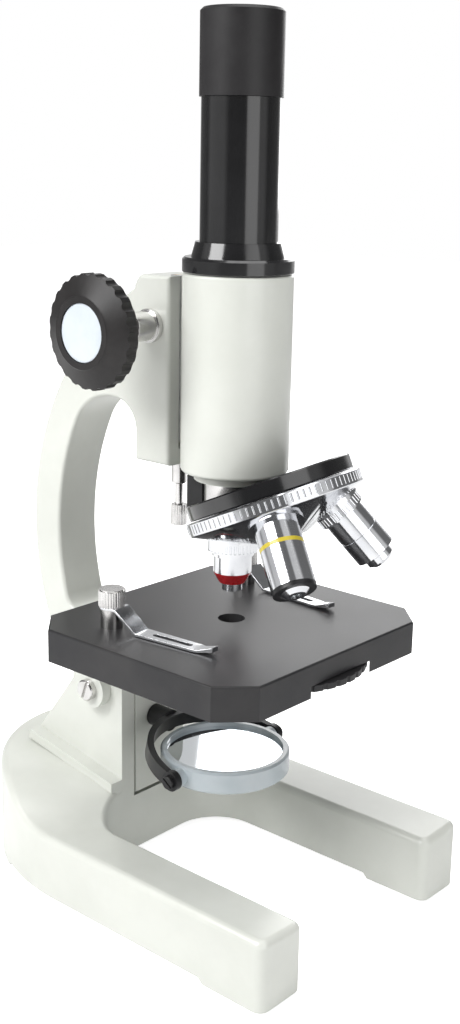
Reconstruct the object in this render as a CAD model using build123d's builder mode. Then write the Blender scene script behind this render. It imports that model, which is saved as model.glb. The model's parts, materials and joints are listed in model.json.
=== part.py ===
from build123d import *
import os
from math import acos, cos, hypot, pi, radians, sin, sqrt, tan

# Student microscope: horseshoe base, tilting C arm, rack focus and triple nosepiece.
# Millimetres, +Z up, -Y towards the open end of the base.
# Origin on the table, under the middle of the base.

os.makedirs("parts", exist_ok=True)

# Base casting
base_length = 178.0
base_width = 121.0
base_rear_depth = 73.0
prong_width = 22.5
opening_corner = 20.0
foot_lift = 1.2
arch_rise = 2.0
pad_length = 27.0
prong_corner = 4.0
prong_inner_height = 26.5
prong_outer_height = 28.5
deck_front_height = 32.5
deck_rear_height = 42.0
ridge_round = 2.9
foot_radius = 7.0
foot_recess = 2.2

# Pillar and tilt joint
cheek_radius = 14.25
cheek_half_width = 18.0
slot_half_width = 11.0
tilt_z = 73.4
cheek_flare = 6.0
boss_radius = 8.0
boss_height = 4.5
tilt_bolt_radius = 3.0
slot_gap = 1.5
slot_rear_floor = 53.0

# Arm
arm_width = 21.0
arm_edge_round = 1.6
outer_arc_radius = 115.7
outer_arc_centre = (-34.3, 133.3)
inner_arc_radius = 105.3
inner_arc_centre = (-39.3, 132.5)
block_depth = 17.5
block_bottom_z = 168.6
block_top_z = 239.4
throat_top_z = 191.3
tail_reach = 47.0
tail_depth = 22.0
tongue_thickness = 8.0
tongue_length = 19.5

# Stage
stage_z = 111.6
stage_width = 114.3
stage_depth = 104.7
stage_centre_y = -20.35
stage_corner = 11.7
skirt_height = 12.7
plate_thickness = 4.0
skirt_wall = 3.0
stage_hole_radius = 5.2
notch_half_width = 16.0
notch_height = 4.5
stage_screw_radius = 1.95
stage_screw_x = 5.5

# Optical axis and tube
optical_y = -20.0
seat_z = 144.1
tube_rim_z = 302.1
tube_radius = 14.0
eyepiece_radius = 11.6
tube_socket = 22.0
flange_radius = 20.15
flange_height = 5.7
collar_height = 5.3
collar_low_radius = 17.0
collar_high_radius = 15.5
cap_radius = 14.7
cap_height = 29.0
barrel_length = 32.0

# Head casting
head_radius = 20.1
head_back = 15.0
head_bottom_z = 169.6
head_top_z = 241.9
head_bore = 12.5
spout_radius = 15.0
spout_height = 3.0
neck_radius = 11.2

# Focus slide, rack and pinion
block_front_y = 4.3
slide_neck = 4.45
slide_foot = 6.45
slide_neck_end = 4.9
slide_foot_end = 7.2
slide_top_z = 239.6
slide_length = 62.0
rack_pitch_y = 9.0
groove_floor_z = 174.6
gear_module = 0.6
pinion_teeth = 14
pressure_angle = 20.0
tooth_addendum = 0.45
tooth_dedendum = 0.62
backlash = 0.12
rack_width = 6.0
pinion_z = 220.9
pinion_face = 8.4
shaft_radius = 3.0
bush_bore = 5.5
bush_radius = 5.5
bush_flange_radius = 6.3
bush_nose = 11.5
stop_screw_radius = 1.5
stop_travel_gap = 0.2
lowest_focus = 2.0

# Focus knobs
knob_radius = 20.8
knob_inner_x = 36.0
knob_width = 9.9
knob_lobes = 24
inlay_radius = 10.65
inlay_recess = 0.5

# Nosepiece: turret axis leans forward and is screwed home slightly off square
turret_lean = 24.13
turret_twist = 6.47
seat_circle = 23.0
turret_radius = 33.5
turret_rim = 4.8
turret_top = 9.7
turret_wall = 4.6
seat_boss = 0.8
seat_boss_radius = 10.3
plate_radius = 31.5
plate_height = 5.8
plate_gap = 0.3
pivot_bite = 2.6
light_bore = 7.0
pivot_radius = 3.0
thread_radius = 7.0
thread_length = 4.3

# Clips
clip_post_x = 38.0
clip_post_y = 6.0
clip_span = 48.2
clip_lean = 4.76
clip_thickness = 0.9
clip_width = 7.6
clip_eye_radius = 4.9
post_bush_radius = 4.3
post_bush_height = 7.4
post_waist = 2.0
post_knob_radius = 5.1
post_knob_height = 6.0

# Disc diaphragm
disc_radius = 36.0
disc_offset = 20.0
disc_thickness = 2.4
disc_apertures = (5.0, 3.6, 2.6, 1.8, 1.2)
disc_boss_radius = 5.0
disc_screw_radius = 2.0
disc_z = 100.6

# Mirror
mirror_y = -18.0
mirror_z = 53.7
mirror_ring_radius = 25.4
mirror_ring_height = 8.7
mirror_glass_radius = 22.9
mirror_web = 1.2
mirror_glass_thickness = 2.2
mirror_ledge = 21.0
concave_sagitta = 1.0
trunnion_radius = 3.5
fork_radius = 30.0
fork_thickness = 2.6
fork_width = 6.0
fork_rise = 12.0
fork_boss_radius = 3.9
fork_boss_length = 4.0
fork_pin_radius = 2.5
fork_pin_depth = 15.0
fork_hub_radius = 4.5
fork_hub_length = 5.0
pivot_screw_radius = 1.4
pivot_screw_bite = 1.6

# Clearances
running = 0.05
fit = 0.03
body_gap = 0.3

# Derived places of the base
half_width = base_width / 2
front_y = -base_length / 2
rear_centre_y = base_length / 2 - base_rear_depth
opening_half = half_width - prong_width
pillar_front_y = 21.5
tilt_y = pillar_front_y + cheek_radius
arm_half = arm_width / 2
tray_z = stage_z - skirt_height
plate_under_z = stage_z - plate_thickness
stage_rear_y = stage_centre_y + stage_depth / 2
stage_front_y = stage_centre_y - stage_depth / 2
through = 400.0

# The top of the base: level along the prongs, then climbing round the back of the pillar
inner_crest = [
    (pillar_front_y - 20, prong_inner_height), (pillar_front_y, deck_front_height),
    (pillar_front_y + 28, deck_front_height + 5), (base_length / 2, deck_rear_height)]
outer_crest = [
    (pillar_front_y, prong_outer_height), (pillar_front_y + 18, prong_outer_height + 2),
    (pillar_front_y + 36, deck_rear_height - 3), (base_length / 2, deck_rear_height)]
crest_sections = (
    (-half_width - 1, outer_crest), (-cheek_half_width + 1, inner_crest),
    (cheek_half_width - 1, inner_crest), (half_width + 1, outer_crest))
with BuildPart() as base_top:
    for section_x, heights in crest_sections:
        with BuildSketch(Plane.YZ.offset(section_x)):
            with BuildLine():
                crest = Spline(*heights, tangents=[(1, 0), (1, 0)])
                Polyline(crest @ 0, (front_y, heights[0][1]), (front_y, 0), (heights[-1][0], 0), crest @ 1)
            make_face()
    loft()

# Hollow curve that eases each side of the pillar into the top of the base
with BuildPart() as pillar_flare:
    deck_line = Plane(origin=(0, pillar_front_y, deck_front_height), x_dir=(1, 0, 0),
                      z_dir=(0, 52, deck_rear_height - deck_front_height))
    with BuildSketch(deck_line):
        with BuildLine():
            Line((-cheek_half_width, -4), (-cheek_half_width, cheek_flare))
            RadiusArc((-cheek_half_width, cheek_flare), (-cheek_half_width - cheek_flare, 0), cheek_flare)
            Polyline((-cheek_half_width - cheek_flare, 0), (-cheek_half_width - cheek_flare, -4),
                     (-cheek_half_width, -4))
        make_face()
        mirror(about=Plane.YZ)
    extrude(amount=60)
    with BuildSketch(Plane.YZ):
        Polygon((pillar_front_y, 0), (pillar_front_y, tilt_z), (tilt_y + cheek_radius, tilt_z),
                (tilt_y + 36, deck_rear_height + 2.5), (tilt_y + 36, 0), align=None)
    extrude(amount=half_width, both=True, mode=Mode.INTERSECT)

foot_places = [(-half_width + prong_width / 2, front_y + 11), (half_width - prong_width / 2, front_y + 11),
               (-28, base_length / 2 - 19), (28, base_length / 2 - 19)]

with BuildPart() as base_casting:
    with BuildSketch(Plane.XY.offset(foot_lift)) as plan:
        with BuildLine():
            EllipticalCenterArc((0, rear_centre_y), half_width, base_rear_depth, 0, arc_size=180)
            Polyline((-half_width, rear_centre_y), (-half_width, front_y),
                     (half_width, front_y), (half_width, rear_centre_y))
        make_face()
        with Locations((0, front_y)):
            Rectangle(2 * opening_half, pillar_front_y - front_y, align=(Align.CENTER, Align.MIN),
                      mode=Mode.SUBTRACT)
        fillet(plan.vertices().group_by(Axis.Y)[0], prong_corner)
        fillet(plan.vertices().filter_by_position(Axis.Y, pillar_front_y - 1, pillar_front_y + 1),
               opening_corner)
    extrude(amount=deck_rear_height + 2 - foot_lift)
    add(base_top.part, mode=Mode.INTERSECT)
    fillet(base_casting.faces().filter_by(Plane.XY, reverse=True).edges().filter_by(
        lambda e: e.center().Z > prong_inner_height - 1 and hypot(
            e.center().X / half_width, max(0, e.center().Y - rear_centre_y) / base_rear_depth) > 0.93),
        ridge_round)
    # Forked pillar
    with BuildSketch(Plane.YZ):
        with BuildLine():
            Polyline((pillar_front_y, tilt_z), (pillar_front_y, 2 * foot_lift), (tilt_y + 42, 2 * foot_lift),
                     (tilt_y + 42, deck_rear_height - 2.5), (tilt_y + 36, deck_rear_height + 2.5),
                     (tilt_y + cheek_radius, tilt_z))
            ThreePointArc((pillar_front_y, tilt_z), (tilt_y, tilt_z + cheek_radius),
                          (tilt_y + cheek_radius, tilt_z))
        make_face()
    extrude(amount=cheek_half_width, both=True)
    add(pillar_flare.part)
    with BuildSketch(Plane.YZ) as slot:
        with Locations((tilt_y, tilt_z)):
            Circle(tail_reach + slot_gap)
        with Locations((pillar_front_y - 40, 0)):
            Rectangle(tail_depth + 42, tilt_z, align=(Align.MIN, Align.MIN), mode=Mode.INTERSECT)
        with Locations((pillar_front_y - 1, slot_rear_floor)):
            Rectangle(base_length, 60, align=(Align.MIN, Align.MIN))
    extrude(amount=slot_half_width, both=True, mode=Mode.SUBTRACT)
    with BuildSketch(Plane.YZ.offset(-cheek_half_width - boss_height), Plane.YZ.offset(cheek_half_width)):
        with Locations((tilt_y, tilt_z)):
            Circle(boss_radius)
    extrude(amount=boss_height)
    with BuildSketch(Plane.YZ):
        with Locations((tilt_y, tilt_z)):
            Circle(tilt_bolt_radius + fit)
    extrude(amount=through, both=True, mode=Mode.SUBTRACT)
    # Shallow arch under each side, between the pads that carry the feet
    with BuildSketch(Plane.YZ):
        with BuildLine():
            Polyline((front_y + pad_length, 0), (front_y + pad_length, foot_lift),
                     (front_y + pad_length + arch_rise, foot_lift + arch_rise),
                     (base_length / 2 - 40, foot_lift + arch_rise),
                     (base_length / 2 - 40 + arch_rise, foot_lift), (base_length / 2 - 40 + arch_rise, 0),
                     close=True)
        make_face()
    extrude(amount=through, both=True, mode=Mode.SUBTRACT)
    with BuildSketch(Plane.XY):
        with Locations(*foot_places):
            Circle(foot_radius + fit)
    extrude(amount=foot_lift + foot_recess, mode=Mode.SUBTRACT)
base_casting.part.label = "base_casting"
export_step(base_casting.part, "parts/base_casting.step")

with BuildPart() as rubber_feet:
    with BuildSketch(Plane.XY):
        with Locations(*foot_places):
            Circle(foot_radius)
    extrude(amount=foot_lift + foot_recess)
    chamfer(rubber_feet.edges().group_by(Axis.Z)[0], 0.5)
rubber_feet.part.label = "rubber_feet"
export_step(rubber_feet.part, "parts/rubber_feet.step")

# Tilt bolt, its nut and the friction washers
boss_face = cheek_half_width + boss_height
with BuildPart() as tilt_bolt:
    with BuildSketch(Plane.YZ.offset(-boss_face)):
        with Locations((tilt_y, tilt_z)):
            Circle(tilt_bolt_radius)
    extrude(amount=2 * boss_face + 5.5)
    with BuildSketch(Plane.YZ.offset(-boss_face - 2.8)):
        with Locations((tilt_y, tilt_z)):
            Circle(3.75 + 0.6)
    extrude(amount=2.8)
    chamfer(tilt_bolt.edges().group_by(Axis.X)[0], 0.5)
    with BuildSketch(Plane.YZ.offset(-boss_face - 2.8)):
        with Locations((tilt_y, tilt_z)):
            Rectangle(1.2, 10, rotation=20)
    extrude(amount=1.1, mode=Mode.SUBTRACT)
tilt_bolt.part.label = "tilt_bolt"
export_step(tilt_bolt.part, "parts/tilt_bolt.step")

with BuildPart() as tilt_nut:
    with BuildSketch(Plane.YZ.offset(boss_face)):
        with Locations((tilt_y, tilt_z)):
            RegularPolygon(5.8, 6)
            Circle(tilt_bolt_radius + fit, mode=Mode.SUBTRACT)
    extrude(amount=4.4)
tilt_nut.part.label = "tilt_nut"
export_step(tilt_nut.part, "parts/tilt_nut.step")

washer_thickness = slot_half_width - arm_half - running
with BuildPart() as friction_washers:
    with BuildSketch(Plane.YZ.offset(-slot_half_width), Plane.YZ.offset(slot_half_width - washer_thickness)):
        with Locations((tilt_y, tilt_z)):
            Circle(boss_radius)
            Circle(tilt_bolt_radius + fit, mode=Mode.SUBTRACT)
    extrude(amount=washer_thickness)
friction_washers.part.label = "friction_washers"
export_step(friction_washers.part, "parts/friction_washers.step")

# Places on the arm
pinion_y = rack_pitch_y + gear_module * pinion_teeth / 2
tail_front_y = tilt_y - 14.75
tail_rear_y = tail_front_y + tail_depth
fork_z = mirror_z + fork_radius * sin(radians(fork_rise))
outer_y, outer_z = outer_arc_centre
inner_y, inner_z = inner_arc_centre
bow_top = (outer_y + sqrt(outer_arc_radius ** 2 - (234.1 - outer_z) ** 2), 234.1)
bow_foot = (outer_y + sqrt(outer_arc_radius ** 2 - (92.6 - outer_z) ** 2), 92.6)
throat_top = (inner_y + sqrt(inner_arc_radius ** 2 - (throat_top_z - inner_z) ** 2), throat_top_z)
throat_foot = (inner_y + sqrt(inner_arc_radius ** 2 - (tray_z - inner_z) ** 2), tray_z)
throat_front = (block_front_y + block_depth, throat_top_z)
tail_tip_z = tilt_z - sqrt(tail_reach ** 2 - (tail_rear_y - tilt_y) ** 2)
tail_toe_z = tilt_z - sqrt(tail_reach ** 2 - (tail_front_y - tilt_y) ** 2)
pad_rear_y = stage_rear_y - skirt_wall - 0.6
dovetail = [(-slide_neck, -head_back - optical_y - 10), (-slide_neck, slide_neck_end),
            (-slide_foot, slide_foot_end), (slide_foot, slide_foot_end),
            (slide_neck, slide_neck_end), (slide_neck, -head_back - optical_y - 10)]
stop_y = 8.0

with BuildPart() as arm:
    with BuildSketch(Plane.YZ) as side:
        with BuildLine():
            Polyline((block_front_y, block_bottom_z), (block_front_y, block_top_z),
                     (block_front_y + 14.5, block_top_z))
            ThreePointArc((block_front_y + 14.5, block_top_z), (21.0, 237.6), bow_top)
            ThreePointArc(bow_top, (outer_y + outer_arc_radius, outer_z), bow_foot)
            ThreePointArc(bow_foot, (64.4, 81.1), (50.6, 76.6))
            Line((50.6, 76.6), (tail_rear_y + 5, 76.6))
            ThreePointArc((tail_rear_y + 5, 76.6), (tail_rear_y + 1.46, 75.14), (tail_rear_y, 71.6))
            Line((tail_rear_y, 71.6), (tail_rear_y, tail_tip_z))
            ThreePointArc((tail_rear_y, tail_tip_z), (tilt_y, tilt_z - tail_reach), (tail_front_y, tail_toe_z))
            Polyline((tail_front_y, tail_toe_z), (tail_front_y, plate_under_z - tongue_thickness),
                     (tail_front_y - tongue_length, plate_under_z - tongue_thickness),
                     (tail_front_y - tongue_length, plate_under_z), (pad_rear_y, plate_under_z),
                     (pad_rear_y, tray_z), throat_foot)
            ThreePointArc(throat_foot, (inner_y + inner_arc_radius, inner_z), throat_top)
            Polyline(throat_top, throat_front, (throat_front[0], block_bottom_z),
                     (block_front_y, block_bottom_z))
        make_face()
        for corner, corner_radius in ((throat_foot, 8), (throat_top, 22), (throat_front, 12)):
            fillet(side.vertices().sort_by_distance((*corner, 0))[:1], corner_radius)
    extrude(amount=arm_half, both=True)
    rims = arm.faces().filter_by(Axis.X).edges().filter_by(
        lambda e: e.center().Z > plate_under_z + 2 or e.center().Y > pad_rear_y + 6)
    fillet(rims, arm_edge_round)
    # Dovetail groove with the relief channel for the rack
    with BuildSketch(Plane.XY.offset(groove_floor_z)) as groove:
        with BuildLine():
            Polyline(*dovetail, close=True)
        make_face()
        offset(amount=running, kind=Kind.INTERSECTION)
    extrude(amount=block_top_z, mode=Mode.SUBTRACT)
    with BuildSketch(Plane.XY.offset(groove_floor_z)):
        with Locations((0, slide_neck_end)):
            Rectangle(rack_width + 1.2, 10.2 - slide_neck_end, align=(Align.CENTER, Align.MIN))
    extrude(amount=block_top_z, mode=Mode.SUBTRACT)
    # Cross bores for the pinion bushes and the tilt bolt, and the fork pin
    with BuildSketch(Plane.YZ):
        with Locations((pinion_y, pinion_z)):
            Circle(bush_bore)
        with Locations((tilt_y, tilt_z)):
            Circle(tilt_bolt_radius + running)
    extrude(amount=through, both=True, mode=Mode.SUBTRACT)
    with BuildSketch(Plane.XZ.offset(-tail_front_y)):
        with Locations((0, fork_z)):
            Circle(fork_pin_radius + running)
    extrude(amount=-fork_pin_depth - 0.5, mode=Mode.SUBTRACT)
    # Stop screw hole and counterbored stage screw holes
    with BuildSketch(Plane.XY.offset(block_bottom_z)):
        with Locations((0, stop_y)):
            Circle(stop_screw_radius + running)
    extrude(amount=groove_floor_z - block_bottom_z, mode=Mode.SUBTRACT)
    with BuildSketch(Plane.XY.offset(plate_under_z - tongue_thickness)):
        with Locations((-stage_screw_x, 11), (stage_screw_x, 11)):
            Circle(stage_screw_radius + fit)
    extrude(amount=tongue_thickness, mode=Mode.SUBTRACT)
    with BuildSketch(Plane.XY.offset(plate_under_z - tongue_thickness)):
        with Locations((-stage_screw_x, 11), (stage_screw_x, 11)):
            Circle(3.8)
    extrude(amount=3.2, mode=Mode.SUBTRACT)
arm.part.label = "arm"
export_step(arm.part, "parts/arm.step")

# Stage tray, screwed to the tongue of the arm
clip_posts = [(-clip_post_x, clip_post_y), (clip_post_x, clip_post_y)]
disc_y = optical_y - disc_offset
with BuildPart() as stage:
    with BuildSketch(Plane.XY.offset(tray_z)) as outline:
        with Locations((0, stage_centre_y)):
            Rectangle(stage_width, stage_depth)
        chamfer(outline.vertices(), stage_corner)
    extrude(amount=skirt_height)
    fillet(stage.edges().group_by(Axis.Z)[-1], 0.8)
    with BuildSketch(Plane.XY.offset(tray_z)) as hollow:
        with Locations((0, stage_centre_y)):
            Rectangle(stage_width - 2 * skirt_wall, stage_depth - 2 * skirt_wall)
        chamfer(hollow.vertices(), stage_corner - skirt_wall * 0.6)
    extrude(amount=skirt_height - plate_thickness, mode=Mode.SUBTRACT)
    with BuildSketch(Plane.XY.offset(tray_z)):
        Polygon((-notch_half_width, stage_front_y - 1), (-notch_half_width - 7, stage_front_y + skirt_wall + 1),
                (notch_half_width + 7, stage_front_y + skirt_wall + 1), (notch_half_width, stage_front_y - 1),
                align=None)
    extrude(amount=notch_height, mode=Mode.SUBTRACT)
    with BuildSketch(Plane.XY.offset(disc_z + disc_thickness + running)):
        with Locations((0, disc_y)):
            Circle(disc_boss_radius)
    extrude(until=Until.NEXT)
    with BuildSketch(Plane.XY.offset(tray_z)):
        with Locations((0, disc_y)):
            Circle(disc_screw_radius + fit)
    extrude(amount=skirt_height - 1.6, mode=Mode.SUBTRACT)
    with BuildSketch(Plane.XY.offset(tray_z)):
        with Locations((0, optical_y)):
            Circle(stage_hole_radius)
        with Locations(*clip_posts):
            Circle(post_waist + fit)
    extrude(amount=skirt_height, mode=Mode.SUBTRACT)
    with BuildSketch(Plane.XY.offset(plate_under_z)):
        with Locations((-stage_screw_x, 11), (stage_screw_x, 11)):
            Circle(stage_screw_radius + fit)
    extrude(amount=2.6, mode=Mode.SUBTRACT)
stage.part.label = "stage"
export_step(stage.part, "parts/stage.step")

with BuildPart() as stage_screws:
    with BuildSketch(Plane.XY.offset(plate_under_z - tongue_thickness + 0.4)):
        with Locations((-stage_screw_x, 11), (stage_screw_x, 11)):
            Circle(3.5)
            SlotOverall(8, 1.1, rotation=30, mode=Mode.SUBTRACT)
    extrude(amount=1.2)
    with BuildSketch(Plane.XY.offset(plate_under_z - tongue_thickness + 1.6)):
        with Locations((-stage_screw_x, 11), (stage_screw_x, 11)):
            Circle(3.5)
    extrude(amount=1.6)
    with BuildSketch(Plane.XY.offset(plate_under_z - tongue_thickness + 3.2)):
        with Locations((-stage_screw_x, 11), (stage_screw_x, 11)):
            Circle(stage_screw_radius)
    extrude(amount=tongue_thickness - 3.2 + 2.4)
stage_screws.part.label = "stage_screws"
export_step(stage_screws.part, "parts/stage_screws.step")

# Disc diaphragm and its shoulder screw
with BuildPart() as disc_diaphragm:
    with BuildSketch(Plane.XY.offset(disc_z)):
        with Locations((0, disc_y)):
            Circle(disc_radius)
            Circle(disc_screw_radius + running, mode=Mode.SUBTRACT)
            for index, aperture in enumerate(disc_apertures):
                with PolarLocations(disc_offset, 1, start_angle=90 + 360 / len(disc_apertures) * index):
                    Circle(aperture, mode=Mode.SUBTRACT)
    extrude(amount=disc_thickness)
    # Grip notches round the rim
    with BuildSketch(Plane.XY.offset(disc_z)):
        with Locations((0, disc_y)):
            with PolarLocations(disc_radius + 0.5, 40):
                Circle(1.1)
    extrude(amount=disc_thickness, mode=Mode.SUBTRACT)
disc_diaphragm.part.label = "disc_diaphragm"
export_step(disc_diaphragm.part, "parts/disc_diaphragm.step")

with BuildPart() as diaphragm_pivot:
    with BuildSketch(Plane.XY.offset(disc_z - running)):
        with Locations((0, disc_y)):
            Circle(disc_screw_radius)
    extrude(amount=stage_z - 1.8 - disc_z + running)
    with BuildSketch(Plane.XY.offset(disc_z - running - 1.6)):
        with Locations((0, disc_y)):
            Circle(4)
    extrude(amount=1.6)
    with BuildSketch(Plane.XY.offset(disc_z - running - 1.6)):
        with Locations((0, disc_y)):
            Rectangle(9, 1.0)
    extrude(amount=0.8, mode=Mode.SUBTRACT)
diaphragm_pivot.part.label = "diaphragm_pivot"
export_step(diaphragm_pivot.part, "parts/diaphragm_pivot.step")

# Stage clips on their posts
bush_top_z = stage_z + post_bush_height
waist_length = clip_thickness + 2 * running
with BuildPart() as left_clip_post:
    with BuildSketch(Plane.XY.offset(plate_under_z)):
        with Locations(clip_posts[0]):
            Circle(post_waist)
    extrude(amount=plate_thickness + post_bush_height + waist_length)
    with BuildSketch(Plane.XY.offset(stage_z)):
        with Locations(clip_posts[0]):
            Circle(post_bush_radius)
    extrude(amount=post_bush_height)
    with BuildSketch(Plane.XY.offset(bush_top_z + waist_length)):
        with Locations(clip_posts[0]):
            Circle(post_knob_radius)
            with PolarLocations(post_knob_radius + 0.25, 32):
                Circle(0.42, mode=Mode.SUBTRACT)
    extrude(amount=post_knob_height)
    with BuildSketch(Plane.XY.offset(bush_top_z + waist_length + post_knob_height)):
        with Locations(clip_posts[0]):
            Circle(post_knob_radius - 0.6)
    extrude(amount=0.5)
left_clip_post.part.label = "left_clip_post"
export_step(left_clip_post.part, "parts/left_clip_post.step")

with BuildPart() as right_clip_post:
    mirror(left_clip_post.part, about=Plane.YZ)
right_clip_post.part.label = "right_clip_post"
export_step(right_clip_post.part, "parts/right_clip_post.step")

clip_top_z = bush_top_z + running + clip_thickness
clip_reach = Vector(sin(radians(clip_lean)), -cos(radians(clip_lean)))
clip_side = Plane(origin=(*clip_posts[0], 0), x_dir=clip_reach, z_dir=(clip_reach.Y, -clip_reach.X, 0))
rest_z = stage_z + body_gap
with BuildPart() as left_clip:
    with BuildSketch(clip_side):
        with BuildLine():
            top = Polyline((-clip_eye_radius, clip_top_z), (5, clip_top_z), (14.5, rest_z + clip_thickness),
                           (clip_span - 6, rest_z + clip_thickness), (clip_span, rest_z + clip_thickness + 1.8))
            Polyline((clip_span, rest_z + clip_thickness + 1.8), (clip_span + 0.2, rest_z + 1),
                     (clip_span - 5.8, rest_z), (14.2, rest_z), (4.7, clip_top_z - clip_thickness),
                     (-clip_eye_radius, clip_top_z - clip_thickness), (-clip_eye_radius, clip_top_z))
        make_face()
    extrude(amount=clip_width, both=True)
    clip_plan = Plane(origin=(*clip_posts[0], stage_z), x_dir=clip_reach, z_dir=(0, 0, 1))
    with BuildSketch(clip_plan):
        Circle(clip_eye_radius)
        Polygon((0, -clip_eye_radius + 0.6), (15, -clip_width / 2), (clip_span - 8, -clip_width / 2 + 0.5),
                (clip_span + 1, -1.6), (clip_span + 1, 1.6), (clip_span - 8, clip_width / 2 - 0.5),
                (15, clip_width / 2), (0, clip_eye_radius - 0.6), align=None)
        Circle(post_waist + running, mode=Mode.SUBTRACT)
        with Locations((29, 0)):
            SlotOverall(18, 2.2, mode=Mode.SUBTRACT)
    extrude(amount=skirt_height, mode=Mode.INTERSECT)
left_clip.part.label = "left_clip"
export_step(left_clip.part, "parts/left_clip.step")

with BuildPart() as right_clip:
    mirror(left_clip.part, about=Plane.YZ)
right_clip.part.label = "right_clip"
export_step(right_clip.part, "parts/right_clip.step")

# Focus stop below the arm block
with BuildPart() as stop_lock_nut:
    with BuildSketch(Plane.XY.offset(block_bottom_z - 8.5)):
        with Locations((0, stop_y)):
            Circle(2.9)
            Circle(stop_screw_radius + running, mode=Mode.SUBTRACT)
    extrude(amount=8.5)
    chamfer(stop_lock_nut.edges().group_by(Axis.Z)[0], 0.4)
stop_lock_nut.part.label = "stop_lock_nut"
export_step(stop_lock_nut.part, "parts/stop_lock_nut.step")

slide_bottom_z = slide_top_z - slide_length
with BuildPart() as stop_screw:
    with BuildSketch(Plane.XY.offset(block_bottom_z - 25)):
        with Locations((0, stop_y)):
            Circle(3.1)
            with PolarLocations(3.25, 20):
                Circle(0.35, mode=Mode.SUBTRACT)
    extrude(amount=8)
    with BuildSketch(Plane.XY.offset(block_bottom_z - 17)):
        with Locations((0, stop_y)):
            Circle(stop_screw_radius)
    extrude(amount=slide_bottom_z - lowest_focus - stop_travel_gap - block_bottom_z + 17)
stop_screw.part.label = "stop_screw"
export_step(stop_screw.part, "parts/stop_screw.step")

# Head casting that carries the tube and the nosepiece
optical_plane = Plane.XZ.offset(-optical_y)
optical_axis = Axis((0, optical_y, 0), (0, 0, 1))
head_rear_y = optical_y + head_back
slide_screw_heights = [slide_bottom_z + 8, slide_bottom_z + 21, slide_bottom_z + 34]
slide_screw_places = [(0, z) for z in slide_screw_heights]
with BuildPart() as head_casting:
    with BuildSketch(Plane.XY.offset(head_bottom_z)) as d_plan:
        with Locations((0, optical_y)):
            Circle(head_radius)
        with Locations((0, head_rear_y)):
            Rectangle(60, 20, align=(Align.CENTER, Align.MIN), mode=Mode.SUBTRACT)
        fillet(d_plan.vertices(), 2.5)
    extrude(amount=head_top_z - head_bottom_z)
    fillet(head_casting.edges().group_by(Axis.Z)[0], 1.5)
    fillet(head_casting.edges().group_by(Axis.Z)[-1], 1.0)
    with BuildSketch(Plane.XY.offset(head_bottom_z - spout_height)):
        with Locations((0, optical_y)):
            Circle(spout_radius)
    extrude(amount=spout_height)
    for bore, bore_z in ((neck_radius + fit, head_bottom_z - spout_height), (head_bore, head_bottom_z + 8),
                         (tube_radius + fit, head_top_z - tube_socket)):
        with BuildSketch(Plane.XY.offset(bore_z)):
            with Locations((0, optical_y)):
                Circle(bore)
        extrude(amount=head_top_z - bore_z, mode=Mode.SUBTRACT)
    with BuildSketch(Plane.XZ.offset(-head_rear_y)):
        with Locations(*slide_screw_places):
            Circle(1.5 + fit)
    extrude(amount=4, mode=Mode.SUBTRACT)
head_casting.part.label = "head_casting"
export_step(head_casting.part, "parts/head_casting.step")

# Dovetail slide bar and the rack on its back
with BuildPart() as slide_bar:
    with BuildSketch(Plane.XY.offset(slide_bottom_z)):
        with BuildLine():
            Polyline((-slide_neck, head_rear_y), *dovetail[1:5], (slide_neck, head_rear_y), close=True)
        make_face()
    extrude(amount=slide_length)
    with BuildSketch(Plane.XZ.offset(-head_rear_y)):
        with Locations(*slide_screw_places):
            Circle(1.5 + fit)
    extrude(amount=-7, mode=Mode.SUBTRACT)
slide_bar.part.label = "slide_bar"
export_step(slide_bar.part, "parts/slide_bar.step")

with BuildPart() as slide_screws:
    with BuildSketch(Plane.XZ.offset(-head_rear_y - 6.8)):
        with Locations(*slide_screw_places):
            Circle(1.5)
    extrude(amount=9.6)
    with BuildSketch(Plane.XZ.offset(-head_rear_y + 2.8)):
        with Locations(*slide_screw_places):
            Circle(2.6)
            Rectangle(6, 0.8, mode=Mode.SUBTRACT)
    extrude(amount=1.5)
slide_screws.part.label = "slide_screws"
export_step(slide_screws.part, "parts/slide_screws.step")

tooth_pitch = pi * gear_module
flank_slope = tan(radians(pressure_angle))
rack_half_tooth = tooth_pitch / 4 - backlash / 4
rack_root_y = rack_pitch_y - tooth_dedendum
rack_tip_y = rack_pitch_y + tooth_addendum
with BuildPart() as focus_rack:
    with BuildSketch(Plane.YZ):
        with Locations(((slide_foot_end + rack_root_y) / 2, slide_top_z - slide_length / 2)):
            Rectangle(rack_root_y - slide_foot_end, slide_length)
        teeth_below = int((pinion_z - slide_bottom_z) / tooth_pitch - 0.5)
        teeth_above = int((slide_top_z - pinion_z) / tooth_pitch - 0.5)
        root_half = rack_half_tooth + tooth_dedendum * flank_slope
        tip_half = rack_half_tooth - tooth_addendum * flank_slope
        with Locations(*[(0, pinion_z + (step + 0.5) * tooth_pitch)
                         for step in range(-teeth_below - 1, teeth_above + 1)]):
            Polygon((rack_root_y, -root_half), (rack_tip_y, -tip_half), (rack_tip_y, tip_half),
                    (rack_root_y, root_half), align=None)
    extrude(amount=rack_width / 2, both=True)
focus_rack.part.label = "focus_rack"
export_step(focus_rack.part, "parts/focus_rack.step")

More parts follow.
